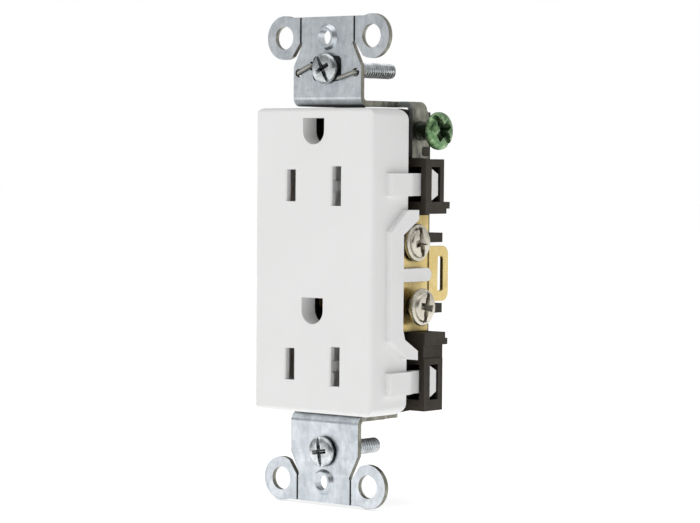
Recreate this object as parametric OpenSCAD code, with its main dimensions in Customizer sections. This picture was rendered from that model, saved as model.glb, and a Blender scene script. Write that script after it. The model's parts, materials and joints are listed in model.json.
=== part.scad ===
// Duplex wall outlet with a rectangular face, 15 A 125 V grounding pattern, ground hole up.
// Frame: origin between the two box screws on the rear plane of the strap's ears,
// +X to the right as seen from the front, +Y into the wall, +Z up. Millimetres.

/* [Face] */
// Width of the white face
face_w = 32.9; // [31.5:0.1:33.1]
// Height of the white face
face_h = 66.04; // [65.4:0.02:66.2]
// How far the face stands in front of the strap's rear plane
face_proud = 5.65; // [5.2:0.05:6.2]
// Thickness of the front wall
face_wall = 1.5; // [1.4:0.1:1.8]
// Distance between the centres of the two outlets
outlet_pitch = 38.86; // [38.6:0.02:39.1]

/* [Slots] */
// Distance between the two blade slots of one outlet
blade_pitch = 12.7; // [12.6:0.05:12.8]
// Drop from the outlet centre to the blade slots
blade_drop = 3.18; // [3.0:0.02:3.4]
// Rise from the outlet centre to the ground hole
ground_rise = 8.72; // [8.5:0.02:8.8]
// Width of a blade slot
slot_w = 2.4; // [2.2:0.05:2.5]
// Height of the hot slot
hot_slot_h = 6.93; // [6.6:0.01:7.2]
// Height of the neutral slot
neutral_slot_h = 8.52; // [8.2:0.02:8.7]
// Width of the ground hole
ground_hole_w = 5.97; // [5.7:0.01:6.1]

/* [Strap] */
// Thickness of the strap
strap_t = 1.2; // [1.1:0.05:1.3]
// Overall height of the strap between its straight end edges
strap_len = 105.8; // [105:0.1:106.4]
// Distance between the two box screws
box_screw_pitch = 83.3; // [83.2:0.05:83.4]
// Distance between the two tapped holes for the wall plate
plate_hole_pitch = 96.8; // [96.7:0.05:96.9]
// Distance between the centres of the two ears at one end
ear_span = 24.4; // [24.2:0.1:24.6]
// Outer radius of an ear
ear_r = 4.8; // [4.6:0.1:4.9]
// Radius of the hole in an ear
ear_hole_r = 2.55; // [2.3:0.05:2.7]

/* [Screws] */
// Thread radius of the terminal screws and the ground screw
terminal_thread_r = 2.08; // [2.0:0.01:2.1]
// Gap under the head of the upper terminal screws
upper_gap = 0.3; // [0.1:0.1:3]
// Gap under the head of the lower terminal screws
lower_gap = 1.8; // [0.1:0.1:3]
// Gap under the head of the ground screw
ground_gap = 4.0; // [0.5:0.1:4.5]
// Thread radius of the box screws
box_thread_r = 1.72; // [1.65:0.01:1.75]
// Depth that the upper box screw reaches behind the strap
upper_screw_reach = 21.5; // [18:0.5:25]
// Depth that the lower box screw reaches behind the strap
lower_screw_reach = 17.1; // [16:0.1:25]

/* [Hidden] */
$fn = 64;

white = "whitesmoke";
dark_nylon = [0.22, 0.20, 0.19];
zinc = "lightsteelblue";
yellow_brass = "darkkhaki";
nickel = "gainsboro";

// Small overlap that joins two solids of one piece, and overshoot of a cut
join = 0.05;
over = 1;

// ---- places shared by several pieces ----
face_y = -face_proud;
cover_rear_y = 6.7;
side_wall = 1.8;
end_wall = 1.6;
half_w = face_w / 2;
half_h = face_h / 2;
outlet_z = [outlet_pitch / 2, -outlet_pitch / 2];
blade_x = blade_pitch / 2;
ground_hole_r = ground_hole_w / 2;
ground_hole_top = 2.72;

// raised parts on the sides of the cover
guard_x = 17.95;
latch_h = 4.9;
latch_z = [16.65, -26.2];
hook_front_h = 7.2;
hook_rear_h = 4.3;

// rear body
body_y = 8.6;
body_rear_y = 21.8;
body_flat_y = 19.3;
body_half_w = 12.7;
body_wall = 1.6;
frame_x = 18.2;
frame_y = 10.8;
bar_t = 1.4;
bar_rear_y = 12.75;
rim_front_y = 15.9;
upper_frame_top = 22.2;
upper_window = [12.9, 20.5];
ledge_z = 10.3;
lower_frame_top = -21.2;
lower_window = [-30.2, -22.5];
lower_ledge_z = -15.55;

// middle web of the strap, between the cover and the rear body
web_y = 7.1;
web_t = strap_t;
flange_z = 33.5;
bend_r = 2.0;

// ground pin hole in the web and its contact, and the rivets beside it
pin_hole_r = 3.0;
rivet_x = 4.9;
rivet_dz = 2.1;
rivet_hole_r = 0.72;

// terminals
terminal_x = 14.0;
terminal_t = 0.9;
terminal_mid_z = -3.0;
terminal_screw_dz = 7.0;
screw_z = [terminal_mid_z + terminal_screw_dz, terminal_mid_z - terminal_screw_dz];
terminal_y = [6.0, 17.3];
terminal_z = [-15.45, 10.0];
terminal_screw_y = 12.2;
tapped_gap = 0.04;
ground_screw_y = 14.3;
ground_screw_z = 28.3;
ground_tab_x = 14.0;

// self-grounding spring
spring_hole_x = 8.0;
spring_z = 40.75;
spring_wire_r = 0.45;
spring_front_y = -1.8;
spring_inner_y = -0.6;
spring_rear_y = 0.75;

// ---- helpers ----
module box(low, high) {
    translate(low) cube(high - low);
}

// children lie in the X-Z plane and are extruded from y0 to y1
module slab_y(y0, y1) {
    translate([0, y1, 0]) rotate([90, 0, 0]) linear_extrude(y1 - y0) children();
}

// children lie in the Y-Z plane and are extruded from x0 to x1
module slab_x(x0, x1) {
    translate([x0, 0, 0]) rotate([90, 0, 90]) linear_extrude(x1 - x0) children();
}

// children lie in the X-Y plane and are extruded from z0 to z1
module slab_z(z0, z1) {
    translate([0, 0, z0]) linear_extrude(z1 - z0) children();
}

// round bar along Y at x, z
module bar_y(x, z, y0, y1, r) {
    translate([x, y1, z]) rotate([90, 0, 0]) cylinder(h = y1 - y0, r = r);
}

// round bar along X at y, z
module bar_x(y, z, x0, x1, r) {
    translate([x0, y, z]) rotate([0, 90, 0]) cylinder(h = x1 - x0, r = r);
}

// rectangle between two corners, with one radius on all four
module round_rect(low, high, r) {
    translate([low.x + r, low.y]) square([high.x - low.x - 2 * r, high.y - low.y]);
    translate([low.x, low.y + r]) square([high.x - low.x, high.y - low.y - 2 * r]);
    for (x = [low.x + r, high.x - r], y = [low.y + r, high.y - r])
        translate([x, y]) circle(r);
}

// rectangle whose first-axis start has radius r_start and whose end has radius r_end
module two_radius_rect(low, high, r_start, r_end) {
    mid = (low.x + high.x) / 2;
    intersection() {
        round_rect(low, [high.x + over + r_start, high.y], r_start);
        translate([low.x - over, low.y - over])
            square([mid - low.x + over + join, high.y - low.y + 2 * over]);
    }
    intersection() {
        round_rect([low.x - over - r_end, low.y], high, r_end);
        translate([mid, low.y - over])
            square([high.x - mid + over, high.y - low.y + 2 * over]);
    }
}

// a piece and its mirror image on the other side
module both_sides() {
    children();
    mirror([1, 0, 0]) children();
}

// straight or Phillips driver recess in a head, cut along -Z from z = 0
module driver_recess(slot_len, slot_width, slot_depth, cross_len, cross_depth) {
    translate([-slot_len / 2, -slot_width / 2, -slot_depth])
        cube([slot_len, slot_width, slot_depth + over]);
    for (a = [0, 90])
        rotate([0, 0, a])
            translate([-cross_len / 2, -slot_width / 2, -cross_depth])
                cube([cross_len, slot_width, cross_depth + over]);
}

// ---- front cover ----
// outline of a ground hole: flat top and a half-round bottom
module ground_hole_outline(margin = 0) {
    r = ground_hole_r + margin;
    intersection() {
        circle(r);
        translate([-r, -r]) square([2 * r, r + join]);
    }
    translate([-r, 0]) square([2 * r, ground_hole_top + margin]);
}

module cover_block() {
    front_edge_r = 1.0;
    face_corner_r = 2.0;
    rear_corner_r = 2.8;
    intersection() {
        slab_y(face_y, cover_rear_y)
            round_rect([-half_w, -half_h], [half_w, half_h], face_corner_r);
        slab_x(-half_w, half_w)
            two_radius_rect([face_y, -half_h], [cover_rear_y, half_h],
                front_edge_r, rear_corner_r);
        slab_z(-half_h, half_h) rotate(90)
            two_radius_rect([face_y, -half_w], [cover_rear_y, half_w],
                front_edge_r, join);
    }
}

// side outline of the screw guard, in Y and Z
guard_front_y = -0.65;
guard_tip_y = 8.75;
guard_inner_y = 3.5;
guard_outline = [
    [guard_front_y, 6.6], [4.9, 11.2], [guard_tip_y, 11.2], [guard_tip_y, 9.1],
    [guard_inner_y, 5.9], [guard_inner_y, -14.6], [4.2, -16.7],
    [guard_tip_y, -19.3], [guard_tip_y, -21.3], [4.9, -20.9], [guard_front_y, -17.0]
];
terminal_opening = [
    [guard_inner_y, 5.9], [guard_tip_y, 9.1], [20, 9.1], [20, -19.3],
    [guard_tip_y, -19.3], [4.2, -16.7], [guard_inner_y, -14.6]
];

// screw guard on the right-hand side, with the finger between the two screws
module guard() {
    finger_h = 2.9;
    finger_x = [14.2, 15.6];
    finger_nose_y = 16.4;
    slab_x(half_w - side_wall, guard_x) polygon(guard_outline);
    slab_x(finger_x[0], finger_x[1]) {
        translate([guard_inner_y - join, terminal_mid_z - finger_h / 2])
            square([finger_nose_y - finger_h / 2 - guard_inner_y + join, finger_h]);
        translate([finger_nose_y - finger_h / 2, terminal_mid_z]) circle(finger_h / 2);
    }
    slab_z(terminal_mid_z - finger_h / 2, terminal_mid_z + finger_h / 2)
        polygon([[14.65, guard_inner_y - join], [guard_x - 0.1, guard_inner_y - join],
            [finger_x[1] - join, guard_inner_y + 1.9], [14.65, guard_inner_y + 1.9]]);
}

// snap latch on the right-hand side, centred at height z
module latch(z) {
    arm_in = 15.35;
    arm_out = 16.65;
    hook_out = 17.9;
    hook_y = [12.85, 15.7];
    slab_z(z - latch_h / 2, z + latch_h / 2)
        polygon([[16.0, -0.75], [guard_x, -0.75], [guard_x, 5.8], [17.5, 7.2],
            [arm_out, 8.85], [arm_out, hook_y[0] + join], [arm_in, hook_y[0] + join],
            [arm_in, 7.0], [16.0, 6.0]]);
    intersection() {
        slab_z(z - hook_front_h / 2, z + hook_front_h / 2)
            polygon([[arm_in, hook_y[0]], [hook_out, hook_y[0]],
                [hook_out, hook_y[1] - 0.3], [hook_out - 0.6, hook_y[1]],
                [arm_in, hook_y[1]]]);
        slab_x(arm_in - over, hook_out + over)
            polygon([[hook_y[0], z - hook_front_h / 2], [hook_y[0], z + hook_front_h / 2],
                [hook_y[1], z + hook_rear_h / 2], [hook_y[1], z - hook_rear_h / 2]]);
    }
}

// blade slot centred at x, z, with a small lead-in along its long edges
module blade_slot(x, z, h) {
    lead_in = 0.3;
    box([x - slot_w / 2, face_y - over, z - h / 2], [x + slot_w / 2, 0, z + h / 2]);
    slab_z(z - h / 2, z + h / 2)
        polygon([[x - slot_w / 2 - lead_in, face_y - join], [x + slot_w / 2 + lead_in, face_y - join],
            [x + slot_w / 2 + lead_in, face_y], [x + slot_w / 2, face_y + lead_in],
            [x - slot_w / 2, face_y + lead_in], [x - slot_w / 2 - lead_in, face_y]]);
}

// unopened cross leg of the neutral slot: a pocket behind a thin skin
leg_h = 2.8;
leg_block_h = 2.2;
leg_depth = 0.25;
leg_skin = 0.6;

module front_cover() color(white) {
    blade_rib_x = [3.3, 4.1];
    blade_rib_h = 10.4;
    ground_boss_wall = 1.1;
    ground_boss_y = face_y + 4.6;
    cavity_y = face_y + face_wall;
    difference() {
        union() {
            difference() {
                cover_block();
                box([-half_w + side_wall, cavity_y, -half_h + end_wall],
                    [half_w - side_wall, cover_rear_y + over, half_h - end_wall]);
                both_sides()
                    slab_x(half_w - side_wall - over, half_w + over) polygon(terminal_opening);
            }
            both_sides() {
                guard();
                for (z = latch_z) latch(z);
            }
            for (z = outlet_z) {
                slab_y(cavity_y - join, ground_boss_y)
                    translate([0, z + ground_rise]) ground_hole_outline(ground_boss_wall);
                both_sides()
                    box([blade_rib_x[0], cavity_y - join, z - blade_drop - blade_rib_h / 2],
                        [blade_rib_x[1], cover_rear_y - 0.1, z - blade_drop + blade_rib_h / 2]);
                box([blade_rib_x[0], cavity_y - join, z - blade_drop - leg_block_h / 2],
                    [blade_x - slot_w / 2 - leg_depth, -1.7, z - blade_drop + leg_block_h / 2]);
            }
        }
        for (z = outlet_z) {
            slab_y(face_y - over, 0) translate([0, z + ground_rise]) ground_hole_outline();
            blade_slot(-blade_x, z - blade_drop, hot_slot_h);
            blade_slot(blade_x, z - blade_drop, neutral_slot_h);
            box([blade_x - slot_w / 2 - leg_depth, face_y + leg_skin, z - blade_drop - leg_h / 2],
                [blade_x, 0, z - blade_drop + leg_h / 2]);
        }
    }
}

// ---- rear body ----
module body_plan(inset) {
    w = body_half_w - inset;
    rear = body_rear_y - inset;
    flat = body_flat_y - inset / 2;
    rear_w = 10 - inset / 2;
    polygon([[-w, body_y - inset * over], [w, body_y - inset * over], [w, flat],
        [rear_w, rear], [-rear_w, rear], [-w, flat]]);
}

// side outline of the body: tapers towards the rear, with a soft rear corner
body_top_front = 33.1;
body_top_rear = 32.4;
module body_side() {
    polygon([[body_y, -body_top_front], [body_rear_y - 1.5, -body_top_rear],
        [body_rear_y, -body_top_rear + 1.5], [body_rear_y, body_top_rear - 1.5],
        [body_rear_y - 1.5, body_top_rear], [body_y, body_top_front]]);
}

// latch frames and screw ledges on the right-hand side
module latch_frames() {
    x0 = body_half_w - join;
    frame_rear = 17.2;
    lower_rear = 17.3;
    // upper frame
    box([x0, frame_y, upper_window[1]], [frame_x, frame_rear, upper_frame_top]);
    box([x0, rim_front_y, ledge_z + 1.4], [frame_x, frame_rear, upper_frame_top]);
    box([x0, frame_y, ledge_z], [frame_x, 18.2, upper_window[0]]);
    box([x0, frame_y, ledge_z + 1.1], [frame_x, 19.35, upper_window[0]]);
    box([frame_x - bar_t, frame_y, ledge_z], [frame_x, bar_rear_y, upper_frame_top]);
    // lower frame, with a band set in between its ledge and its window frame
    box([x0, frame_y, -18.3], [frame_x, 18.2, lower_ledge_z]);
    box([x0, frame_y, -18.3], [frame_x, 19.0, -16.9]);
    box([x0, frame_y, lower_frame_top - join], [frame_x - 0.3, lower_rear + 0.3, -18.2]);
    box([x0, frame_y, lower_window[1]], [frame_x, lower_rear, lower_frame_top]);
    box([x0, rim_front_y - 0.2, -32.6], [frame_x, lower_rear, lower_frame_top]);
    box([x0, frame_y, -32.6], [frame_x, lower_rear, lower_window[0]]);
    box([frame_x - bar_t, frame_y, -32.6], [frame_x, bar_rear_y, lower_frame_top]);
}

module rear_body() color(dark_nylon) {
    rib_x = [3.3, 4.1];
    rib_h = 10.4;
    post_h = 2.1;
    contact_pocket = [6.4, 9.7, 31.95];
    cavity_z = 31.2;
    screw_relief_r = terminal_thread_r + 0.35;
    wire_hole_x = 7.6;
    release_x = [4.4, 5.3];
    difference() {
        union() {
            difference() {
                intersection() {
                    slab_z(-body_top_front, body_top_front) body_plan(0);
                    slab_x(-frame_x, frame_x) body_side();
                }
                slab_z(-cavity_z, cavity_z) body_plan(body_wall);
                // pocket in the end wall for the upper ground contact
                box([-contact_pocket.x, body_y - over, cavity_z - over],
                    [contact_pocket.x, contact_pocket.y, contact_pocket.z]);
            }
            intersection() {
                both_sides() latch_frames();
                slab_x(-frame_x - over, frame_x + over) body_side();
            }
            both_sides() {
                for (z = outlet_z)
                    box([rib_x[0], body_y, z - blade_drop - rib_h / 2],
                        [rib_x[1], body_rear_y - 1, z - blade_drop + rib_h / 2]);
                // posts beside the break-off tab
                for (z = [4.95, -10.6])
                    slab_z(z - post_h / 2, z + post_h / 2)
                        polygon([[9, 20], [body_half_w - 0.6, 17.8], [13.9, 17.8],
                            [13.9, 22.55], [9, 22.55]]);
            }
        }
        both_sides() {
            // slots for the terminals' inner shelves
            for (z = [terminal_z[1] - 1.0, terminal_z[0] - 0.1])
                box([body_half_w - body_wall - over, 10.3, z],
                    [body_half_w + 0.2, 15.7, z + 1.1]);
            // room for the screw ends
            for (s = [1, -1])
                bar_x(terminal_screw_y, terminal_mid_z + s * terminal_screw_dz,
                    body_half_w - body_wall - over, body_half_w + over, screw_relief_r);
        }
        bar_x(ground_screw_y, ground_screw_z, body_half_w - body_wall - over,
            body_half_w + over, screw_relief_r);
        both_sides()
            for (z = screw_z) {
                // hole for a pushed-in wire, with a lead-in, and the slot that releases it
                bar_y(wire_hole_x, z, body_rear_y - body_wall - over, body_rear_y + over, 1.15);
                bar_y(wire_hole_x, z, body_rear_y - 0.5, body_rear_y + over, 1.7);
                box([release_x[0], body_rear_y - body_wall - over, z - 1.6],
                    [release_x[1], body_rear_y + over, z + 1.6]);
            }
        // shallow gauge that shows how much of a wire to strip
        box([-1.1, body_rear_y - 0.5, -8.0], [1.1, body_rear_y + over, 8.0]);
        box([-2.2, body_rear_y - 0.5, 7.0], [2.2, body_rear_y + over, 8.0]);
    }
}

// ---- mounting strap ----
neck_half_w = 7.5;
neck_z = 47.7;
shoulder_half_w = 9.45;
collar_h = 1.0;
score_w = 0.5;

// front plate of one end, in X and Z, for the upper end
module strap_end_outline() {
    end_z = strap_len / 2;
    ear_z = plate_hole_pitch / 2 + 0.1;
    difference() {
        union() {
            polygon([[-shoulder_half_w, 35.5], [shoulder_half_w, 35.5],
                [shoulder_half_w, 42.2], [8.9, 43.2], [7.2, 46.6], [7.0, 47.2],
                [neck_half_w, neck_z], [neck_half_w, end_z], [-neck_half_w, end_z],
                [-neck_half_w, neck_z], [-7.0, 47.2], [-7.2, 46.6], [-8.9, 43.2],
                [-shoulder_half_w, 42.2]]);
            for (s = [1, -1]) {
                translate([s * ear_span / 2, ear_z]) circle(ear_r);
                translate([s * (neck_half_w + ear_span / 2) / 2, (neck_z + end_z) / 2])
                    square([ear_span / 2 - neck_half_w + 0.2, end_z - neck_z], center = true);
            }
        }
        for (s = [1, -1]) translate([s * ear_span / 2, ear_z]) circle(ear_hole_r);
        // straight inner edge of each ear beside the neck
        both_sides() polygon([[7.42, 47.78], [9.75, 44.5], [9.9, 43.0], [9.0, 43.0],
            [8.95, 43.2], [7.25, 46.6], [7.05, 47.2]]);
    }
}

// one end of the strap: front plate, bend and flange, for the upper end
module strap_end(slot_half_w, slot_half_h, slot_r) {
    end_z = strap_len / 2;
    screw_z = box_screw_pitch / 2;
    hole_z = plate_hole_pitch / 2;
    difference() {
        union() {
            slab_y(-strap_t, 0) strap_end_outline();
            // collar drawn forward around the tapped hole
            translate([0, -strap_t + join, hole_z]) rotate([90, 0, 0])
                cylinder(h = collar_h + join, r1 = 2.85, r2 = 2.25);
            // quarter bend
            intersection() {
                difference() {
                    translate([-shoulder_half_w, bend_r - strap_t, flange_z + bend_r])
                        rotate([0, 90, 0]) cylinder(h = 2 * shoulder_half_w, r = bend_r);
                    translate([-shoulder_half_w - over, bend_r - strap_t, flange_z + bend_r])
                        rotate([0, 90, 0])
                            cylinder(h = 2 * shoulder_half_w + 2 * over, r = bend_r - strap_t);
                }
                box([-shoulder_half_w, -strap_t, flange_z],
                    [shoulder_half_w, bend_r - strap_t + join, flange_z + bend_r + join]);
            }
            box([-shoulder_half_w, bend_r - strap_t, flange_z],
                [shoulder_half_w, web_y + web_t, flange_z + strap_t]);
        }
        // tapped hole for the wall plate, and slot for the box screw
        bar_y(0, hole_z, -strap_t - collar_h - over, over, 1.75);
        slab_y(-strap_t - over, over) translate([0, screw_z])
            round_rect([-slot_half_w, -slot_half_h], [slot_half_w, slot_half_h], slot_r);
        // score lines where the ears break off, in front and behind
        for (s = [1, -1]) {
            x = s * neck_half_w;
            box([x - score_w / 2, -strap_t - over, neck_z - 0.3],
                [x + score_w / 2, -strap_t + 0.4, end_z + over]);
            box([x - score_w / 2, -0.2, neck_z - 0.3], [x + score_w / 2, over, end_z + over]);
        }
    }
}

// middle web with the pin holes, in X and Z
module web_outline() {
    pin_zone_half_h = 4.0;
    difference() {
        union() {
            translate([-3.1, -flange_z - join]) square([6.2, 2 * (flange_z + join)]);
            for (z = outlet_z)
                translate([-6.6, z + ground_rise - pin_zone_half_h])
                    square([13.2, 2 * pin_zone_half_h]);
            translate([-4.6, -flange_z - join]) square([9.2, 3]);
        }
        for (z = outlet_z) {
            translate([0, z + ground_rise]) circle(pin_hole_r + 0.1);
            for (s = [1, -1], t = [1, -1])
                translate([s * rivet_x, z + ground_rise + t * rivet_dz]) circle(rivet_hole_r);
        }
    }
}

// rear part of the top flange and the tab for the ground screw
module ground_tab() {
    tab_y = [11.2, 17.0];
    tab_z = [22.35, 32.8];
    notch_z = [22.8, 24.9];
    tab_t = strap_t;
    bend = 2.0;
    difference() {
        union() {
            // arms of the flange that run back beside the web
            both_sides()
                box([5.2, web_y, flange_z], [shoulder_half_w, 16.4, flange_z + strap_t]);
            box([shoulder_half_w - join, tab_y[0], flange_z],
                [ground_tab_x - bend + join, 16.4, flange_z + strap_t]);
            // bend from the flange down to the tab
            intersection() {
                difference() {
                    translate([ground_tab_x - bend, tab_y[0], flange_z + strap_t - bend])
                        rotate([-90, 0, 0]) cylinder(h = 16.4 - tab_y[0], r = bend);
                    translate([ground_tab_x - bend, tab_y[0] - over, flange_z + strap_t - bend])
                        rotate([-90, 0, 0]) cylinder(h = 30, r = bend - strap_t);
                }
                box([ground_tab_x - bend, tab_y[0], flange_z + strap_t - bend - join],
                    [ground_tab_x, 16.4, flange_z + strap_t]);
            }
            slab_x(ground_tab_x - tab_t, ground_tab_x) {
                round_rect([tab_y[0], notch_z[1]], [tab_y[1], tab_z[1]], 0.9);
                translate([tab_y[0], tab_z[0]]) square([tab_y[1] - tab_y[0], 4]);
                translate([tab_y[0], tab_z[0]]) square([2, tab_z[1] - tab_z[0]]);
                translate([tab_y[0], tab_z[1] - 2]) square([16.4 - tab_y[0], 2.1]);
            }
        }
        bar_x(ground_screw_y, ground_screw_z, ground_tab_x - 3, ground_tab_x + over,
            terminal_thread_r + tapped_gap);
        // notch in the rear edge, which leaves a narrow lip below
        slab_x(ground_tab_x - 3, ground_tab_x + over)
            round_rect([14.6, notch_z[0]], [20, notch_z[1]], 0.7);
    }
}

module mounting_strap() color(zinc) {
    difference() {
        union() {
            strap_end(4.0, 2.75, 1.2);
            mirror([0, 0, 1]) strap_end(3.5, 2.8, 2.79);
            slab_y(web_y, web_y + web_t) web_outline();
            ground_tab();
            // arms of the lower flange
            both_sides()
                box([5.2, web_y, -flange_z - strap_t], [8.9, 13.4, -flange_z]);
        }
        // holes and a notch for the spring wire, upper end only
        both_sides() bar_y(spring_hole_x, spring_z, -strap_t - over, over, 0.95);
        box([-4.75, -strap_t - over, 41.3], [-3.9, over, 43.2]);
    }
}

// ---- self-grounding spring ----
spring_path = [
    [-9.2, spring_rear_y, spring_z], [-8.5, spring_rear_y, spring_z],
    [-spring_hole_x, 0.2, spring_z], [-spring_hole_x, -1.3, spring_z],
    [-7.5, spring_front_y, 40.95], [-4.5, spring_front_y, 42.3],
    [-4.1, -1.5, 42.35], [-3.95, spring_inner_y, 42.1], [-3.25, spring_inner_y, 40.9],
    [-3.0, spring_inner_y, 39.75], [-2.3, spring_inner_y, 39.42],
    [2.4, spring_inner_y, 39.42], [3.9, spring_front_y, 39.6],
    [7.5, spring_front_y, 40.65], [spring_hole_x, -1.3, spring_z],
    [spring_hole_x, 0.2, spring_z], [8.5, spring_rear_y, spring_z],
    [9.2, spring_rear_y, spring_z]
];

function unit(v) = v / norm(v);

// round wire along a path: one ring of corners across the bend at each point
module wire(path, r, sides) {
    last = len(path) - 1;
    // a direction that is never along the wire, so that the rings don't twist
    steady = [0.15, 0.3, 1];
    rings = [for (i = [0 : last])
        let (along = unit(path[min(i + 1, last)] - path[max(i - 1, 0)]),
            u = unit(cross(along, steady)),
            v = cross(along, u))
        for (k = [0 : sides - 1])
            path[i] + r * (cos(360 * k / sides) * u + sin(360 * k / sides) * v)];
    walls = [for (i = [0 : last - 1], k = [0 : sides - 1])
        let (n = (k + 1) % sides)
        for (half = [0, 1])
            half == 0 ? [i * sides + k, i * sides + n, (i + 1) * sides + k]
                : [i * sides + n, (i + 1) * sides + n, (i + 1) * sides + k]];
    ends = [[for (k = [0 : sides - 1]) sides - 1 - k],
        [for (k = [0 : sides - 1]) last * sides + k]];
    polyhedron(rings, concat(walls, ends));
}

module self_ground_spring() color(nickel) wire(spring_path, spring_wire_r, 10);

// ---- terminals ----
// brass plate with its break-off tab, inner shelves and risers, right-hand side
module terminal() {
    tab_y = 24.6;
    tab_half_h = 6.1;
    slit = 0.8;
    shelf_y = [10.5, 15.5];
    riser_x = [8.1, 9.0];
    riser_y = 13.4;
    upper_blade_z = outlet_z[0] - blade_drop;
    lower_blade_z = outlet_z[1] - blade_drop;
    difference() {
        union() {
            slab_x(terminal_x - terminal_t, terminal_x) {
                translate([terminal_y[0], terminal_z[0]])
                    square([terminal_y[1] - terminal_y[0], terminal_z[1] - terminal_z[0]]);
                difference() {
                    round_rect([terminal_y[1] - 3, terminal_mid_z - tab_half_h],
                        [tab_y, terminal_mid_z + tab_half_h], 2);
                    round_rect([20.8, terminal_mid_z - 3.9], [22.7, terminal_mid_z + 3.9], 0.6);
                }
            }
            box([riser_x[0], shelf_y[0], terminal_z[1] - terminal_t],
                [terminal_x, shelf_y[1], terminal_z[1]]);
            box([riser_x[0], shelf_y[0], terminal_z[1] - terminal_t],
                [riser_x[1], riser_y, upper_blade_z + 3.6]);
            box([riser_x[0], shelf_y[0], terminal_z[0]],
                [terminal_x, shelf_y[1], terminal_z[0] + terminal_t]);
            box([riser_x[0], shelf_y[0], lower_blade_z - 3.6],
                [riser_x[1], riser_y, terminal_z[0] + terminal_t]);
        }
        // the slit that leaves the two halves joined by the tab alone
        box([terminal_x - 2, terminal_y[0] - over, terminal_mid_z - slit / 2],
            [terminal_x + over, terminal_y[1], terminal_mid_z + slit / 2]);
        // score line of the tab
        box([terminal_x - 0.3, terminal_y[1] - 0.3, terminal_mid_z - tab_half_h - over],
            [terminal_x + over, terminal_y[1] + 0.3, terminal_mid_z + tab_half_h + over]);
        for (s = [1, -1])
            bar_x(terminal_screw_y, terminal_mid_z + s * terminal_screw_dz, terminal_x - 3,
                terminal_x + over, terminal_thread_r + tapped_gap);
    }
}

module neutral_terminal() color(yellow_brass) terminal();
module hot_terminal() color(yellow_brass) mirror([1, 0, 0]) terminal();

// spring jaw for one blade, centred at x, z
module blade_jaw(x, z, h) {
    leaf_right = [[1.75, 13.4], [1.75, 8.0], [1.1, 2.6], [1.9, -1.3], [1.3, -1.5],
        [0.4, 2.6], [1.05, 8.0], [1.05, 12.6]];
    leaf_left = [for (i = [len(leaf_right) - 1 : -1 : 0]) [-leaf_right[i].x, leaf_right[i].y]];
    slab_z(z - h / 2, z + h / 2) translate([x, 0]) polygon(concat(leaf_right, leaf_left));
}

neutral_jaw_h = 7.6;
hot_jaw_h = 6.4;
module neutral_contact_upper() color(yellow_brass)
    blade_jaw(blade_x, outlet_z[0] - blade_drop, neutral_jaw_h);
module neutral_contact_lower() color(yellow_brass)
    blade_jaw(blade_x, outlet_z[1] - blade_drop, neutral_jaw_h);
module hot_contact_upper() color(yellow_brass)
    blade_jaw(-blade_x, outlet_z[0] - blade_drop, hot_jaw_h);
module hot_contact_lower() color(yellow_brass)
    blade_jaw(-blade_x, outlet_z[1] - blade_drop, hot_jaw_h);

// ---- ground contacts ----
contact_t = 0.8;

// base plate on the web with two leaves that grip the round pin
module ground_contact(z) {
    base_y = web_y + web_t;
    difference() {
        box([-6.1, base_y, z - 3.6], [6.1, base_y + contact_t, z + 3.6]);
        bar_y(0, z, base_y - over, base_y + over + contact_t, pin_hole_r);
        for (s = [1, -1], t = [1, -1])
            bar_y(s * rivet_x, z + t * rivet_dz, base_y - over, base_y + over + contact_t,
                rivet_hole_r);
    }
    both_sides()
        slab_z(z - 2.0, z + 2.0)
            polygon([[3.05, base_y], [3.75, base_y], [3.0, 14.2], [3.5, 17.0],
                [2.85, 17.2], [2.2, 14.2]]);
}

module ground_contact_upper() color(yellow_brass) ground_contact(outlet_z[0] + ground_rise);
module ground_contact_lower() color(yellow_brass) ground_contact(outlet_z[1] + ground_rise);

module ground_contact_rivets() color(nickel) {
    rivet_r = 0.7;
    head_r = 1.05;
    head_h = 0.3;
    rear = web_y + web_t + contact_t;
    for (z = outlet_z, s = [1, -1], t = [1, -1]) {
        x = s * rivet_x;
        rz = z + ground_rise + t * rivet_dz;
        bar_y(x, rz, web_y - head_h, rear + head_h, rivet_r);
        bar_y(x, rz, web_y - head_h, web_y, head_r);
        bar_y(x, rz, rear, rear + head_h, head_r);
    }
}

// ---- screws ----
// terminal screw on the right-hand side: head outwards, height z, gap under the head
module terminal_screw(z, gap) {
    flange_r = 4.1;
    flange_t = 1.1;
    pan_r = 3.4;
    pan_t = 0.8;
    thread_len = 7.0;
    under = terminal_x + gap;
    translate([under, terminal_screw_y, z]) rotate([0, 90, 0]) difference() {
        union() {
            translate([0, 0, -thread_len]) cylinder(h = thread_len + join, r = terminal_thread_r);
            cylinder(h = flange_t, r = flange_r);
            translate([0, 0, flange_t - join])
                cylinder(h = pan_t + join, r1 = pan_r, r2 = pan_r - 0.35);
        }
        translate([0, 0, flange_t + pan_t]) driver_recess(9, 0.95, 0.9, 3.9, 1.4);
    }
}

module neutral_screw_upper() color(nickel) terminal_screw(screw_z[0], upper_gap);
module neutral_screw_lower() color(nickel) terminal_screw(screw_z[1], lower_gap);
module hot_screw_upper() color(yellow_brass)
    mirror([1, 0, 0]) terminal_screw(screw_z[0], upper_gap);
module hot_screw_lower() color(yellow_brass)
    mirror([1, 0, 0]) terminal_screw(screw_z[1], lower_gap);

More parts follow.
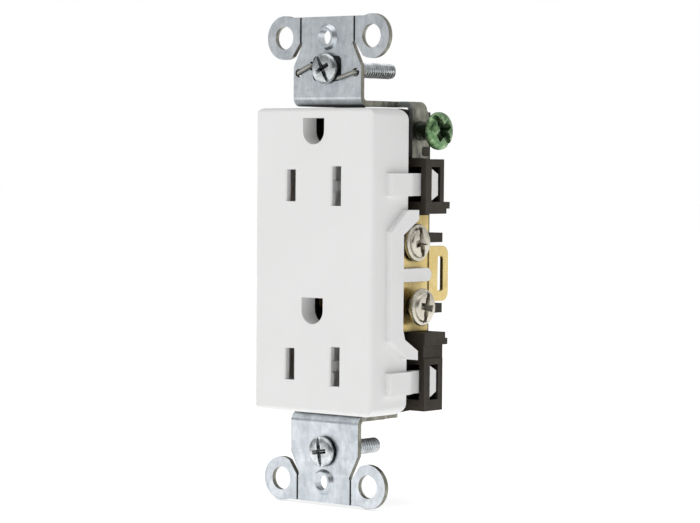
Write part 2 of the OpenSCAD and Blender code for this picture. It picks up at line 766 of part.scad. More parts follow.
module ground_screw() color("seagreen") {
    head_r = 4.12;
    head_h = 2.3;
    end_x = 10.6;
    under = ground_tab_x + ground_gap;
    difference() {
        union() {
            bar_x(ground_screw_y, ground_screw_z, end_x, under + join, terminal_thread_r);
            bar_x(ground_screw_y, ground_screw_z, under, under + head_h - 0.7, head_r);
            translate([under + head_h - 0.7 - join, ground_screw_y, ground_screw_z])
                rotate([0, 90, 0]) cylinder(h = 0.7 + join, r1 = head_r, r2 = head_r - 1.0);
        }
        translate([under + head_h, ground_screw_y, ground_screw_z]) rotate([0, 90, 0])
            rotate([0, 0, 40]) driver_recess(9, 1.2, 1.0, 4.4, 1.6);
    }
}

// screw that holds the outlet to its box: head in front, a turn of thread, a plain neck that
// the retainer grips, and the rest of the thread to the given reach behind the strap
box_neck_r = 1.45;
module mounting_screw(z, reach) {
    head_r = 3.35;
    head_h = 1.25;
    head_gap = 0.55;
    head_y = -strap_t - head_gap;
    difference() {
        union() {
            bar_y(0, z, head_y - join, retainer_y[1] + 0.6, box_neck_r);
            bar_y(0, z, 0, retainer_y[0] - 0.1, box_thread_r);
            bar_y(0, z, retainer_y[1] + 0.5, reach, box_thread_r);
            bar_y(0, z, head_y - head_h + 0.6, head_y, head_r);
            translate([0, head_y - head_h + 0.6 + join, z]) rotate([90, 0, 0])
                cylinder(h = 0.6 + join, r1 = head_r, r2 = head_r - 0.7);
        }
        translate([0, head_y - head_h, z]) rotate([90, 0, 0])
            driver_recess(8, 0.9, 0.7, 3.6, 1.1);
    }
}

module mounting_screw_upper() color(nickel)
    mounting_screw(box_screw_pitch / 2, upper_screw_reach);
module mounting_screw_lower() color(nickel)
    mounting_screw(-box_screw_pitch / 2, lower_screw_reach);

// washer that keeps a box screw in the strap
retainer_y = [1.3, 2.1];
module retainer(z) {
    difference() {
        bar_y(0, z, retainer_y[0], retainer_y[1], 3.9);
        bar_y(0, z, retainer_y[0] - over, retainer_y[1] + over, box_neck_r + 0.05);
    }
}

module screw_retainer_upper() color(dark_nylon) retainer(box_screw_pitch / 2);
module screw_retainer_lower() color(dark_nylon) retainer(-box_screw_pitch / 2);

front_cover();
rear_body();
mounting_strap();
self_ground_spring();
neutral_terminal();
hot_terminal();
neutral_contact_upper();
neutral_contact_lower();
hot_contact_upper();
hot_contact_lower();
ground_contact_upper();
ground_contact_lower();
ground_contact_rivets();
neutral_screw_upper();
neutral_screw_lower();
hot_screw_upper();
hot_screw_lower();
ground_screw();
mounting_screw_upper();
mounting_screw_lower();
screw_retainer_upper();
screw_retainer_lower();
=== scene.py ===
# Looks of a duplex wall outlet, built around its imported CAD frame. Metres, +Z up, +Y into the wall.
import json
import math

import bmesh
import bpy
from mathutils import Matrix, Vector


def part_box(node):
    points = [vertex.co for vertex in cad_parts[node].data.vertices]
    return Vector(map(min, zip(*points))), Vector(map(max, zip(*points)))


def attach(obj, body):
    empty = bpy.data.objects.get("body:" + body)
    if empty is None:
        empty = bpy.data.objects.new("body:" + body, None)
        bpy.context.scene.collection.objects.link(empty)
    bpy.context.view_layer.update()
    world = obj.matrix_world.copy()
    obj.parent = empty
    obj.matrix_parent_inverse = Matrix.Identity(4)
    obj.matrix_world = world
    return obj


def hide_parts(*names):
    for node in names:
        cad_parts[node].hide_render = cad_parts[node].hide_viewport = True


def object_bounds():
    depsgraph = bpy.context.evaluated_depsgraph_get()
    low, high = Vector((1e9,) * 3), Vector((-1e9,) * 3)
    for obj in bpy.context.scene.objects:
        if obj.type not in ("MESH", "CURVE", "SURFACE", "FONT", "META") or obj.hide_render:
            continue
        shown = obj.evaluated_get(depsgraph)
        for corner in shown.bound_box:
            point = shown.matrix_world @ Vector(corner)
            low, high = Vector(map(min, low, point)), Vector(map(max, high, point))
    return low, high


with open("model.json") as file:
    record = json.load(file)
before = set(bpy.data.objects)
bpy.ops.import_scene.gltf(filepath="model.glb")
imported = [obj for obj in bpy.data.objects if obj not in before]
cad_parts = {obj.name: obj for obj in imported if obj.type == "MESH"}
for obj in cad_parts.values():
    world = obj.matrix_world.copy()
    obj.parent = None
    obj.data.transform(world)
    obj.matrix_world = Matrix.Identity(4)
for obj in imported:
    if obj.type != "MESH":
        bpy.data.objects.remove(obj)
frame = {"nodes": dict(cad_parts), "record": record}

MM = 0.001
CAD_LOW, CAD_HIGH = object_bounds()
X = Vector((1, 0, 0))
Y = Vector((0, 1, 0))


# ---- places taken from the frame ----
def middle(node):
    low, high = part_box(node)
    return (low + high) / 2


def body_of_node(node):
    for body, members in frame["record"]["behaviour"]["bodies"].items():
        if node in members:
            return body
    raise KeyError(node)


def slot_of_node(node):
    for subpart in frame["record"]["subparts"]:
        if subpart["node"] == node:
            return subpart["material_slot"]
    raise KeyError(node)


# ---- materials ----
def principled(name, **sockets):
    """A new material with its Principled shader's own sockets set; returns the material and the shader."""
    material = bpy.data.materials.new(name)
    material.use_nodes = True
    shader = material.node_tree.nodes["Principled BSDF"]
    for socket, value in sockets.items():
        shader.inputs[socket.replace("_", " ")].default_value = value
    return material, shader


class Graph:
    """Short ways to add and join nodes in one material."""

    def __init__(self, material):
        self.tree = material.node_tree
        self.place = self.add("TexCoord").outputs["Object"]

    def add(self, kind):
        return self.tree.nodes.new("ShaderNode" + kind)

    def join(self, source, target):
        self.tree.links.new(source, target)

    def noise(self, size, detail=2.0, roughness=0.5, stretch=(1, 1, 1), offset=(0, 0, 0)):
        """Noise whose features are about size metres across, from 0 to 1."""
        mapping = self.add("Mapping")
        mapping.inputs["Scale"].default_value = stretch
        mapping.inputs["Location"].default_value = offset
        self.join(self.place, mapping.inputs["Vector"])
        noise = self.add("TexNoise")
        noise.inputs["Scale"].default_value = 1 / size
        noise.inputs["Detail"].default_value = detail
        noise.inputs["Roughness"].default_value = roughness
        self.join(mapping.outputs["Vector"], noise.inputs["Vector"])
        return noise.outputs["Fac"]

    def ramp(self, value, *stops):
        """Colour ramp through (position, colour) stops; a colour may be one grey number."""
        node = self.add("ValToRGB")
        elements = node.color_ramp.elements
        while len(elements) < len(stops):
            elements.new(0.5)
        for element, (position, colour) in zip(elements, stops):
            element.position = position
            rgb = colour if hasattr(colour, "__len__") else (colour,) * 3
            element.color = (*rgb, 1)
        self.join(value, node.inputs["Fac"])
        return node.outputs["Color"]

    def remap(self, value, low, high, start=0.3, end=0.7):
        """A number that goes from low to high as value goes from start to end."""
        node = self.add("MapRange")
        for socket, number in (("From Min", start), ("From Max", end), ("To Min", low), ("To Max", high)):
            node.inputs[socket].default_value = number
        self.join(value, node.inputs["Value"])
        return node.outputs["Result"]

    def mix(self, factor, first, second, blend="MIX"):
        """Two colours mixed by a factor; each is a socket or a colour."""
        node = self.add("Mix")
        node.data_type = "RGBA"
        node.blend_type = blend
        for socket, value in (("Factor", factor), ("A", first), ("B", second)):
            target = next(s for s in node.inputs if s.name == socket and s.enabled)
            if isinstance(value, bpy.types.NodeSocket):
                self.join(value, target)
            elif hasattr(value, "__len__"):
                target.default_value = (*value, 1)
            else:
                target.default_value = value
        return next(s for s in node.outputs if s.name == "Result" and s.enabled)

    def edges(self, radius):
        """1 where the surface bends sharply within radius, as on a worn edge, and 0 where it is flat."""
        bevel = self.add("Bevel")
        bevel.samples = 6
        bevel.inputs["Radius"].default_value = radius
        geometry = self.add("NewGeometry")
        dot = self.add("VectorMath")
        dot.operation = "DOT_PRODUCT"
        self.join(bevel.outputs["Normal"], dot.inputs[0])
        self.join(geometry.outputs["Normal"], dot.inputs[1])
        return self.remap(dot.outputs["Value"], 1.0, 0.0, 0.65, 0.98)

    def crevice(self, distance, open_at=0.75):
        """1 deep in a gap narrower than about distance, 0 on an open surface; the materials paint shade into
        gaps with it.
        """
        node = self.add("AmbientOcclusion")
        node.samples = 6
        node.inputs["Distance"].default_value = distance
        return self.remap(node.outputs["AO"], 1.0, 0.0, 0.15, open_at)

    def facing(self, axis):
        """0 on faces across the axis, 1 on faces that look along it, either way."""
        split = self.add("SeparateXYZ")
        self.join(self.add("NewGeometry").outputs["Normal"], split.inputs[0])
        size = self.add("Math")
        size.operation = "ABSOLUTE"
        self.join(split.outputs[axis], size.inputs[0])
        return self.remap(size.outputs["Value"], 0.0, 1.0, 0.05, 0.6)

    def about(self, axis, centre, half):
        """1 where a coordinate's size, without its sign, lies within half of centre, 0 elsewhere."""
        split = self.add("SeparateXYZ")
        self.join(self.place, split.inputs[0])
        size = self.add("Math")
        size.operation = "ABSOLUTE"
        self.join(split.outputs[axis], size.inputs[0])
        test = self.add("Math")
        test.operation = "COMPARE"
        test.inputs[1].default_value = centre
        test.inputs[2].default_value = half
        self.join(size.outputs["Value"], test.inputs[0])
        return test.outputs["Value"]

    def masks(self, operation, first, second):
        """Two masks joined: MAXIMUM is either of them, MULTIPLY is where they overlap."""
        node = self.add("Math")
        node.operation = operation
        self.join(first, node.inputs[0])
        self.join(second, node.inputs[1])
        return node.outputs["Value"]

    def bump(self, shader, *layers):
        """Stacks (height socket, depth in metres) layers of bump into the shader's normal."""
        normal = None
        for height, depth in layers:
            node = self.add("Bump")
            node.inputs["Strength"].default_value = 1.0
            node.inputs["Distance"].default_value = depth
            self.join(height, node.inputs["Height"])
            if normal is not None:
                self.join(normal, node.inputs["Normal"])
            normal = node.outputs["Normal"]
        self.join(normal, shader.inputs["Normal"])


def white_face_plastic():
    """Satin white moulded thermoplastic with a faint flow ripple."""
    material, shader = principled(
        "white_face_plastic", Specular_IOR_Level=0.45, Subsurface_Weight=0.12, Subsurface_Scale=0.0012
    )
    shader.inputs["Subsurface Radius"].default_value = (1.0, 0.9, 0.8)
    g = Graph(material)
    cloud = g.noise(0.018, detail=3)
    colour = g.ramp(cloud, (0.3, (0.845, 0.845, 0.838)), (0.7, (0.87, 0.87, 0.866)))
    g.join(colour, shader.inputs["Base Color"])
    g.join(g.remap(g.noise(0.006, detail=4), 0.34, 0.44), shader.inputs["Roughness"])
    g.bump(shader, (g.noise(0.004, detail=2), 0.000012), (g.noise(0.00035, detail=2), 0.0000025))
    return material


def dark_nylon():
    """Dark brown glass-filled nylon: matt, with a fine grain, paler rubbed edges and painted shade in its
    gaps.
    """
    material, shader = principled("dark_nylon", Specular_IOR_Level=0.2)
    g = Graph(material)
    cloud = g.ramp(
        g.noise(0.005, detail=4), (0.3, (0.034, 0.028, 0.021)), (0.7, (0.052, 0.043, 0.033))
    )
    rubbed = g.edges(0.00018)
    speckle = g.remap(g.noise(0.0005, detail=3), 0.0, 0.35, 0.55, 0.75)
    colour = g.mix(speckle, cloud, (0.074, 0.063, 0.048))
    colour = g.mix(rubbed, colour, (0.11, 0.098, 0.09))
    # gaps narrower than 4 mm are painted near-black as shade
    g.join(g.mix(g.crevice(0.004), colour, (0.008, 0.007, 0.006)), shader.inputs["Base Color"])
    g.join(g.remap(g.noise(0.0016, detail=4), 0.45, 0.62), shader.inputs["Roughness"])
    g.bump(shader, (g.noise(0.0012, detail=2), 0.00001), (g.noise(0.00022, detail=3), 0.000009))
    return material


def plated_steel(
    name, pale, deep, stain, rough=(0.26, 0.42), grain=(1, 1, 1), tone=0.5, off_y_colour=None,
    gap=0.0015, cloud_grain=(1, 1, 1)
):
    """Plated steel: cloudy plate, faint rolling marks along grain, dull stains, bright edges, painted shade
    in gaps.

    off_y_colour is the colour given to the faces that don't look along Y, tone is how strong the stains are,
    and gap is the width in metres below which a gap is painted dark as shade."""
    material, shader = principled(name, Metallic=1.0)
    g = Graph(material)
    cloud = g.ramp(g.noise(0.003, detail=7, roughness=0.72, stretch=cloud_grain), (0.34, deep), (0.62, pale))
    stains = g.remap(g.noise(0.0026, detail=6, roughness=0.7, offset=(3, 1, 2)), 0.0, tone, 0.5, 0.72)
    worn = g.edges(0.00016)
    colour = g.mix(stains, cloud, stain)
    bright = tuple(min(1.0, c * 1.18) for c in pale)
    colour = g.mix(worn, colour, bright)
    if off_y_colour:
        streaks = g.noise(0.0016, detail=6, roughness=0.65, stretch=(1, 1, 0.5))
        darker = tuple(c * 0.6 for c in off_y_colour)
        lighter = tuple(c * 1.5 for c in off_y_colour)
        dull = g.ramp(streaks, (0.35, darker), (0.68, lighter))
        # the drawn collars round the tapped holes keep the plate's colour
        collar_half_x, collar_z, collar_half_z = 3.4 * MM, 49 * MM, 3.3 * MM
        collar = g.masks("MULTIPLY", g.about(0, 0, collar_half_x), g.about(2, collar_z, collar_half_z))
        colour = g.mix(g.masks("MAXIMUM", g.facing(1), collar), dull, colour)
    # gaps narrower than gap are painted a dark plate colour as shade
    g.join(g.mix(g.crevice(gap), colour, tuple(c * 0.12 for c in deep)), shader.inputs["Base Color"])
    marks = g.noise(0.0009, detail=5, roughness=0.6, stretch=grain)
    g.join(g.remap(marks, *rough), shader.inputs["Roughness"])
    g.bump(
        shader,
        (g.noise(0.0035, detail=3), 0.00002),
        (g.noise(0.0006, detail=4, stretch=grain), 0.000006),
        (g.noise(0.00016, detail=2), 0.000002),
    )
    return material


def satin_brass(name, pale, deep, stain, rough=(0.2, 0.36), gap=0.005):
    """Stamped brass strip: glossy, with a soft tarnish, fine rolling lines and painted shade in its gaps."""
    material, shader = principled(name, Metallic=1.0)
    g = Graph(material)
    cloud = g.ramp(g.noise(0.0055, detail=4), (0.3, deep), (0.7, pale))
    tarnish = g.remap(g.noise(0.003, detail=6, roughness=0.65, offset=(1, 5, 2)), 0.0, 0.55, 0.5, 0.75)
    colour = g.mix(tarnish, cloud, stain)
    bright = tuple(min(1.0, c * 1.15) for c in pale)
    colour = g.mix(g.edges(0.00014), colour, bright)
    # gaps are painted dark as shade up to this y only, which leaves out the break-off tab behind it
    shaded_to = 18 * MM
    gap_shade = g.masks("MULTIPLY", g.crevice(gap), g.about(1, 0, shaded_to))
    g.join(g.mix(gap_shade, colour, tuple(c * 0.1 for c in deep)), shader.inputs["Base Color"])
    lines = g.noise(0.0007, detail=4, stretch=(1, 1, 0.2))
    g.join(g.remap(lines, *rough), shader.inputs["Roughness"])
    g.bump(shader, (g.noise(0.004, detail=2), 0.00004), (lines, 0.0000015))
    return material


def green_dyed_steel():
    """Green dyed plate of the ground screw: metallic, blotchy, worn pale on its edges, with painted shade on
    its shank and in its recess.
    """
    material, shader = principled("green_dyed_steel", Metallic=0.75, Coat_Weight=0.35, Coat_Roughness=0.18)
    g = Graph(material)
    cloud = g.ramp(
        g.noise(0.0016, detail=5, roughness=0.65),
        (0.3, (0.035, 0.085, 0.035)), (0.48, (0.12, 0.25, 0.1)), (0.66, (0.40, 0.56, 0.31)),
    )
    worn = g.mix(g.edges(0.0003), cloud, (0.56, 0.74, 0.46))
    # behind the head the shank is painted dark as the shade it lies in between the head and the strap
    shank_middle, shank_half = 14 * MM, 3.95 * MM
    shank = g.about(0, shank_middle, shank_half)
    shank_shade = g.ramp(g.noise(0.0012, detail=4), (0.35, (0.022, 0.026, 0.016)), (0.7, (0.10, 0.11, 0.07)))
    worn = g.mix(shank, worn, shank_shade)
    # the recess and other gaps are painted near-black green as shade
    g.join(g.mix(g.crevice(0.006, 0.85), worn, (0.006, 0.013, 0.005)), shader.inputs["Base Color"])
    g.join(g.remap(g.noise(0.0008, detail=4), 0.24, 0.46), shader.inputs["Roughness"])
    g.bump(shader, (g.noise(0.0012, detail=4, roughness=0.6), 0.00005), (g.noise(0.0003, detail=3), 0.00001))
    return material


def retainer_fibre():
    """Dark pressed fibre of the screw retainers."""
    material, shader = principled("retainer_fibre", Specular_IOR_Level=0.3)
    g = Graph(material)
    fibres = g.noise(0.0006, detail=5, roughness=0.7, stretch=(1, 1, 0.4))
    colour = g.ramp(fibres, (0.3, (0.03, 0.032, 0.036)), (0.7, (0.085, 0.09, 0.1)))
    g.join(colour, shader.inputs["Base Color"])
    g.join(g.remap(fibres, 0.6, 0.85), shader.inputs["Roughness"])
    g.bump(shader, (fibres, 0.00003))
    return material


MATERIALS = {
    "white_face_plastic": white_face_plastic(),
    "dark_nylon": dark_nylon(),
    "zinc_plated_steel": plated_steel(
        "zinc_plated_steel", (0.80, 0.84, 0.88), (0.55, 0.60, 0.64), (0.42, 0.45, 0.47),
        grain=(0.25, 1, 1), off_y_colour=(0.25, 0.245, 0.205), gap=0.0012, cloud_grain=(1.3, 1, 0.55)
    ),
    "spring_steel": plated_steel(
        "spring_steel", (0.46, 0.45, 0.42), (0.32, 0.31, 0.28), (0.17, 0.16, 0.14), rough=(0.25, 0.45)
    ),
    "brass": satin_brass("brass", (0.86, 0.70, 0.34), (0.74, 0.57, 0.23), (0.52, 0.36, 0.13)),
    "contact_bronze": satin_brass(
        "contact_bronze", (0.62, 0.42, 0.2), (0.48, 0.31, 0.13), (0.3, 0.18, 0.08), rough=(0.3, 0.45)
    ),
    "nickel_screw": plated_steel(
        "nickel_screw", (0.76, 0.72, 0.63), (0.57, 0.53, 0.44), (0.27, 0.24, 0.18),
        rough=(0.2, 0.38), tone=0.4, gap=0.0022
    ),
    "brass_screw": satin_brass("brass_screw", (0.84, 0.66, 0.33), (0.66, 0.48, 0.2), (0.36, 0.25, 0.1)),
    "green_screw": green_dyed_steel(),
    "zinc_screw": plated_steel(
        "zinc_screw", (0.86, 0.89, 0.92), (0.42, 0.45, 0.45), (0.16, 0.17, 0.16),
        rough=(0.16, 0.36), tone=0.8, gap=0.0018
    ),
    "retainer_fibre": retainer_fibre(),
}


# ---- mesh helpers ----
def object_of(bm, name):
    """An object of the scene made from a bmesh, which is used up."""
    bmesh.ops.recalc_face_normals(bm, faces=bm.faces)
    mesh = bpy.data.meshes.new(name)
    bm.to_mesh(mesh)
    bm.free()
    made = bpy.data.objects.new(name, mesh)
    bpy.context.scene.collection.objects.link(made)
    return made


def new_piece(name, bm, node, shade_angle=50):
    """Turns a bmesh into a smoothed piece that stands for a CAD node, rides with it and has its finish."""
    piece = object_of(bm, name)
    for polygon in piece.data.polygons:
        polygon.use_smooth = True
    piece.data.set_sharp_from_angle(angle=math.radians(shade_angle))
    slot = slot_of_node(node)
    piece.data.materials.clear()
    piece.data.materials.append(MATERIALS[slot])
    weighted = piece.modifiers.new("weighted_normals", "WEIGHTED_NORMAL")
    weighted.keep_sharp = True
    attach(piece, body_of_node(node))
    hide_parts(node)


def from_cad(node, name, round_edges, segments=2, sharper_than=28):
    """A piece with the node's own shape and its sharp edges rounded."""
    bm = bmesh.new()
    bm.from_mesh(frame["nodes"][node].data)
    bmesh.ops.remove_doubles(bm, verts=bm.verts, dist=0.012 * MM)
    bmesh.ops.dissolve_degenerate(bm, edges=bm.edges, dist=0.004 * MM)
    bmesh.ops.dissolve_limit(
        bm, angle_limit=math.radians(0.6), verts=bm.verts, edges=bm.edges, use_dissolve_boundaries=False
    )
    sharp = [
        e for e in bm.edges
        if e.is_manifold and e.calc_face_angle(0) > math.radians(sharper_than)
    ]
    bmesh.ops.bevel(
        bm, geom=sharp, offset=round_edges * MM, offset_type="OFFSET", segments=segments,
        profile=0.5, affect="EDGES", clamp_overlap=True, miter_outer="ARC",
    )
    new_piece(name, bm, node)


def combine(target, other, operation):
    """Boolean of two mesh objects; the other one is used up."""
    modifier = target.modifiers.new("combine", "BOOLEAN")
    modifier.operation = operation
    modifier.solver = "EXACT"
    modifier.object = other
    depsgraph = bpy.context.evaluated_depsgraph_get()
    mesh = bpy.data.meshes.new_from_object(target.evaluated_get(depsgraph))
    target.modifiers.clear()
    target.data = mesh
    bpy.data.objects.remove(other)


def lathe(profile, steps=64):
    """Closed solid of revolution about Z through (radius, height) points, with both ends on the axis."""
    bm = bmesh.new()
    rings = []
    for radius, height in profile:
        if radius == 0:
            rings.append([bm.verts.new((0, 0, height))])
        else:
            turn = [2 * math.pi * k / steps for k in range(steps)]
            rings.append([bm.verts.new((radius * math.cos(a), radius * math.sin(a), height)) for a in turn])
    for below, above in zip(rings, rings[1:]):
        for k in range(steps):
            n = (k + 1) % steps
            if len(below) == 1:
                bm.faces.new((below[0], above[n], above[k]))
            elif len(above) == 1:
                bm.faces.new((below[k], below[n], above[0]))
            else:
                bm.faces.new((below[k], below[n], above[n], above[k]))
    return bm


def threaded_rod(radius, depth, pitch, low, high, steps=36):
    """Closed rod along Z with a helical thread, cut square at both ends."""
    # share of a pitch where the profile turns, and whether the surface is at the crest there
    profile = ((0.0, True), (0.14, True), (0.5, False), (0.64, False))
    bm = bmesh.new()
    turns = math.ceil((high - low) / pitch) + 3
    rows = []
    for row in range(turns * len(profile)):
        share, crest = profile[row % len(profile)]
        start = low - 2 * pitch + pitch * (row // len(profile) + share)
        r = radius if crest else radius - depth
        ring = []
        for k in range(steps):
            a = 2 * math.pi * k / steps
            ring.append(bm.verts.new((r * math.cos(a), r * math.sin(a), start + pitch * k / steps)))
        rows.append(ring)
    for row, ring in enumerate(rows[:-1]):
        above = rows[row + 1]
        for k in range(steps - 1):
            bm.faces.new((ring[k], ring[k + 1], above[k + 1], above[k]))
        # the last angle joins the same profile point one turn on
        if row + len(profile) + 1 < len(rows):
            next_ring, next_above = rows[row + len(profile)], rows[row + len(profile) + 1]
            bm.faces.new((ring[-1], next_ring[0], next_above[0], above[-1]))
    for height, direction in ((low, -1), (high, 1)):
        geometry = bm.verts[:] + bm.edges[:] + bm.faces[:]
        bmesh.ops.bisect_plane(
            bm, geom=geometry, plane_co=(0, 0, height), plane_no=(0, 0, direction), clear_outer=True
        )
        rim = [e for e in bm.edges if e.is_boundary and all(abs(v.co.z - height) < 1e-7 for v in e.verts)]
        bmesh.ops.holes_fill(bm, edges=rim, sides=0)
    return bm


def wedge(length, width, depth, taper, top):
    """Block along X whose sides lean in by taper towards its bottom, from z = -depth up to top."""
    bm = bmesh.new()
    lean = taper / depth
    levels = []
    for z in (-depth, top):
        half_x = length / 2 + lean * z
        half_y = width / 2 + lean * z / 2
        corners = ((-half_x, -half_y), (half_x, -half_y), (half_x, half_y), (-half_x, half_y))
        levels.append([bm.verts.new((x, y, z)) for x, y in corners])
    below, above = levels
    bm.faces.new(below[::-1])
    bm.faces.new(above)
    for k in range(4):
        n = (k + 1) % 4
        bm.faces.new((below[k], below[n], above[n], above[k]))
    return bm


def screw(name, node, head, thread, recess, base, direction, roll):
    """Screw whose head points along direction, with its bearing face's centre at base.

    head is a lathe profile from the bearing face up, thread is (radius, length, neck radius, neck length),
    recess is (slot length, slot width, slot depth, cross length, cross width, cross depth)."""
    top = max(height for _, height in head)
    thread_r, thread_len, neck_r, neck_len = thread
    pitch, thread_depth, tip = 0.794, 0.42, 0.7
    inner_r = thread_r - thread_depth
    made = object_of(lathe([(r * MM, h * MM) for r, h in head]), name)
    shank = [(0, 0.3), (neck_r, 0.3), (neck_r, -neck_len), (inner_r + 0.02, -neck_len - 0.25),
             (inner_r + 0.02, -neck_len - 0.6), (0, -neck_len - 0.6)]
    combine(made, object_of(lathe([(r * MM, h * MM) for r, h in shank], 36), "shank"), "UNION")
    rod = object_of(
        threaded_rod(thread_r * MM, thread_depth * MM, pitch * MM, -thread_len * MM, (-neck_len - 0.2) * MM),
        "rod",
    )
    # the tip tapers: keep only what lies inside a pointed blank
    blank = [(0, -thread_len), (inner_r - 0.1, -thread_len), (thread_r + 0.05, -thread_len + tip),
             (thread_r + 0.05, -neck_len - 0.55), (inner_r - 0.05, -neck_len - 0.21), (0, -neck_len - 0.21)]
    combine(rod, object_of(lathe([(r * MM, h * MM) for r, h in blank], 36), "blank"), "INTERSECT")
    combine(made, rod, "UNION")
    slot_len, slot_w, slot_d, cross_len, cross_w, cross_d = recess
    slot_taper, cross_taper, over_top = 0.1, 0.9, 1
    slot = (slot_len, slot_w, slot_d, slot_taper, over_top)
    cross = (cross_len, cross_w, cross_d, cross_taper, over_top)
    for cutter, turn in ((slot, 0), (cross, 0), (cross, 90)):
        tool = object_of(wedge(*(size * MM for size in cutter)), "tool")
        tool.matrix_world = Matrix.Translation((0, 0, top * MM)) @ Matrix.Rotation(math.radians(turn), 4, "Z")
        bpy.context.view_layer.update()
        combine(made, tool, "DIFFERENCE")
    bm = bmesh.new()
    bm.from_mesh(made.data)
    bpy.data.objects.remove(made)
    bmesh.ops.remove_doubles(bm, verts=bm.verts, dist=0.003 * MM)
    rotation = direction.to_track_quat("Z", "X").to_matrix().to_4x4()
    turn = Matrix.Rotation(math.radians(roll), 4, "Z")
    bmesh.ops.transform(bm, matrix=Matrix.Translation(base) @ rotation @ turn, verts=bm.verts)
    new_piece(name, bm, node, shade_angle=32)


# ---- pieces ----
# millimetres that a tightened side screw's head stays off its plate
CLEAR = 0.03


def terminal_screw(node, side, roll):
    """One of the four side screws: washer-like flange, raised pan and a slot crossed by a Phillips recess."""
    low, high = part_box(node)
    outer = high.x if side > 0 else low.x
    head_h = 1.9
    base = Vector((outer - side * head_h * MM, middle(node).y, middle(node).z))
    head = [(0, CLEAR), (3.75, CLEAR), (4.0, 0.12), (4.1, 0.32), (4.1, 0.72), (3.98, 0.95), (3.75, 1.06),
            (3.5, 1.1), (3.38, 1.14), (3.3, 1.3), (3.22, 1.6), (3.02, 1.8), (2.7, 1.88), (0, head_h)]
    screw(node + "_detailed", node, head, (2.08, 7.0, 1.75, 0.5),
          (9, 1.05, 0.85, 4.2, 1.5, 1.6), base, X * side, roll)


def ground_screw():
    """Green screw: tall round head with a broad recess."""
    node = "ground_screw"
    low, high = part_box(node)
    head_h = 2.3
    base = Vector((high.x - head_h * MM, middle(node).y, middle(node).z))
    head = [(0, CLEAR), (3.7, CLEAR), (3.98, 0.15), (4.12, 0.5), (4.12, 1.1), (3.95, 1.6), (3.55, 2.0),
            (2.9, 2.22), (2.2, head_h), (0, head_h)]
    length = (base.x - low.x) / MM
    screw(node + "_detailed", node, head, (2.08, length, 1.8, 0.25),
          (9, 1.5, 1.1, 5.4, 2.1, 2.0), base, X, 40)


def mounting_screw(node, roll):
    """Box screw: pan head in front of the strap, plain neck in the retainer, then the thread."""
    low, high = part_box(node)
    head_h = 1.25
    base = Vector((middle(node).x, low.y + head_h * MM, middle(node).z))
    head = [(0, 0), (3.1, 0), (3.3, 0.12), (3.35, 0.3), (3.3, 0.6), (3.05, 0.9), (2.6, 1.12),
            (2.0, 1.22), (1.2, head_h), (0, head_h)]
    length = (high.y - base.y) / MM
    neck_len = 4.05
    screw(node + "_detailed", node, head, (1.72, length, 1.45, neck_len),
          (8, 0.9, 0.6, 3.8, 1.0, 1.2), base, -Y, roll)


from_cad("front_cover", "front_cover_shell", 0.2, segments=3)
from_cad("rear_body", "rear_body_shell", 0.12)
from_cad("mounting_strap", "mounting_strap_stamping", 0.1)
for side in ("neutral", "hot"):
    from_cad(side + "_terminal", side + "_terminal_stamping", 0.08)
    for end in ("upper", "lower"):
        from_cad(f"{side}_contact_{end}", f"{side}_contact_{end}_jaw", 0.06)
for end in ("upper", "lower"):
    from_cad("ground_contact_" + end, f"ground_contact_{end}_leaves", 0.06)
    from_cad("screw_retainer_" + end, f"screw_retainer_{end}_washer", 0.08)
from_cad("ground_contact_rivets", "ground_contact_rivet_set", 0.05)
from_cad("self_ground_spring", "self_ground_spring_wire", 0.0)

terminal_screw("neutral_screw_upper", side=1, roll=9)
terminal_screw("neutral_screw_lower", side=1, roll=-11)
terminal_screw("hot_screw_upper", side=-1, roll=24)
terminal_screw("hot_screw_lower", side=-1, roll=-6)
ground_screw()
mounting_screw("mounting_screw_upper", roll=27)
mounting_screw("mounting_screw_lower", roll=8)


# ---- stage ----
# strength of the even light on matt surfaces, and of the even part of what the metals mirror
MATT_EVEN = 0.38
STUDIO_EVEN = 0.38
# the studio's sides: a direction, the cosines at which it begins and is full, and how much it then adds
STUDIO_SIDES = (
    (Vector((0.63, 0.777, 0.05)), 0.3, 0.95, 0.3),
    (Vector((0.777, -0.63, 0.0)), 0.35, 1.0, -0.3),
    (Vector((0, 0, 1)), 0.5, 1.0, 0.45),
)


def add_floor():
    """Plain pale floor under the object."""
    half = 4.0
    bm = bmesh.new()
    below_object = 0.2 * MM
    z = CAD_LOW.z - below_object
    bm.faces.new([bm.verts.new((x * half, y * half, z)) for x, y in ((-1, -1), (1, -1), (1, 1), (-1, 1))])
    floor = object_of(bm, "floor")
    material, shader = principled("floor_white", Roughness=0.9, Specular_IOR_Level=0.1)
    shader.inputs["Base Color"].default_value = (0.9, 0.9, 0.9, 1)
    shader.inputs["Emission Color"].default_value = (1, 1, 1, 1)
    shader.inputs["Emission Strength"].default_value = 0.64
    floor.data.materials.append(material)


def add_area(name, place, aim, size, power, mirrored=True):
    light = bpy.data.lights.new(name, "AREA")
    light.shape = "RECTANGLE"
    light.size, light.size_y = size
    light.energy = power
    lamp = bpy.data.objects.new(name, light)
    bpy.context.scene.collection.objects.link(lamp)
    lamp.location = place
    lamp.rotation_euler = (Vector(aim) - Vector(place)).to_track_quat("-Z", "Y").to_euler()
    lamp.visible_glossy = mirrored


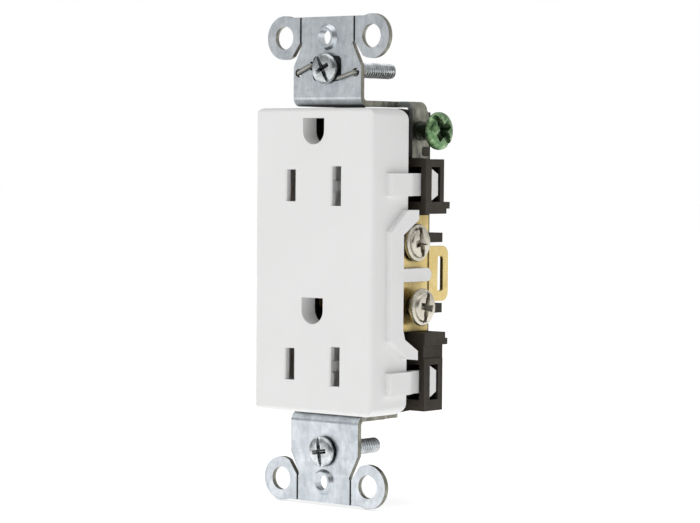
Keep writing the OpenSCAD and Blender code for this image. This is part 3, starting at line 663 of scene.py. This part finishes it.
def add_world():
    """White backdrop for the camera, an even light for matt surfaces, and for what the metals mirror a
    soft studio with a bright and a dark side."""
    world = bpy.data.worlds.new("studio")
    bpy.context.scene.world = world
    world.use_nodes = True
    tree = world.node_tree
    backdrop = tree.nodes["Background"]
    backdrop.inputs["Strength"].default_value = 1.0
    backdrop.inputs["Color"].default_value = (1, 1, 1, 1)
    studio = tree.nodes.new("ShaderNodeBackground")
    studio.inputs["Color"].default_value = (1, 1, 1, 1)
    place = tree.nodes.new("ShaderNodeTexCoord")
    total = None
    for direction, start, end, gain in STUDIO_SIDES:
        towards = tree.nodes.new("ShaderNodeVectorMath")
        towards.operation = "DOT_PRODUCT"
        towards.inputs[1].default_value = direction.normalized()
        tree.links.new(place.outputs["Generated"], towards.inputs[0])
        rise = tree.nodes.new("ShaderNodeMapRange")
        rise.interpolation_type = "SMOOTHSTEP"
        for socket, number in (("From Min", start), ("From Max", end), ("To Min", 0.0), ("To Max", gain)):
            rise.inputs[socket].default_value = number
        tree.links.new(towards.outputs["Value"], rise.inputs["Value"])
        add = tree.nodes.new("ShaderNodeMath")
        add.operation = "ADD"
        add.inputs[1].default_value = STUDIO_EVEN
        tree.links.new(rise.outputs["Result"], add.inputs[0])
        if total is not None:
            tree.links.new(total, add.inputs[1])
        total = add.outputs["Value"]
    tree.links.new(total, studio.inputs["Strength"])
    seen = tree.nodes.new("ShaderNodeLightPath")
    chosen = tree.nodes.new("ShaderNodeMixShader")
    tree.links.new(seen.outputs["Is Camera Ray"], chosen.inputs[0])
    tree.links.new(studio.outputs[0], chosen.inputs[1])
    tree.links.new(backdrop.outputs[0], chosen.inputs[2])
    # matt surfaces are lit evenly from all round
    even = tree.nodes.new("ShaderNodeBackground")
    even.inputs["Color"].default_value = (1, 1, 1, 1)
    even.inputs["Strength"].default_value = MATT_EVEN
    lit = tree.nodes.new("ShaderNodeMixShader")
    tree.links.new(seen.outputs["Is Diffuse Ray"], lit.inputs[0])
    tree.links.new(chosen.outputs[0], lit.inputs[1])
    tree.links.new(even.outputs[0], lit.inputs[2])
    tree.links.new(lit.outputs[0], tree.nodes["World Output"].inputs["Surface"])


def add_camera():
    """Camera at 39 degrees to the right of the front and 2 degrees above it."""
    azimuth, elevation, roll = (math.radians(a) for a in (39.0, 2.2, 0.49))
    origin_from_camera = Vector((-4.58, 0.27, -575.6)) * MM
    turn = (
        Matrix.Rotation(azimuth, 3, "Z")
        @ Matrix.Rotation(math.pi / 2 - elevation, 3, "X")
        @ Matrix.Rotation(roll, 3, "Z")
    )
    data = bpy.data.cameras.new("camera")
    data.sensor_width = 36
    data.lens = 135.9
    data.clip_start, data.clip_end = 0.01, 50
    camera = bpy.data.objects.new("camera", data)
    bpy.context.scene.collection.objects.link(camera)
    camera.matrix_world = Matrix.Translation(-(turn @ origin_from_camera)) @ turn.to_4x4()
    bpy.context.scene.camera = camera


add_floor()
add_world()
add_area("overhead", (-0.1, -0.1, 1.1), (0, 0, 0), (1.2, 1.2), 3)
add_area("front", (-0.1, -1.3, 0.5), (0, 0, 0), (0.9, 0.9), 2.35, mirrored=False)
add_area("right", (1.2, -0.3, 0.35), (0, 0, 0), (0.9, 0.9), 0.12, mirrored=False)
add_camera()
bpy.context.scene.view_settings.view_transform = "Standard"
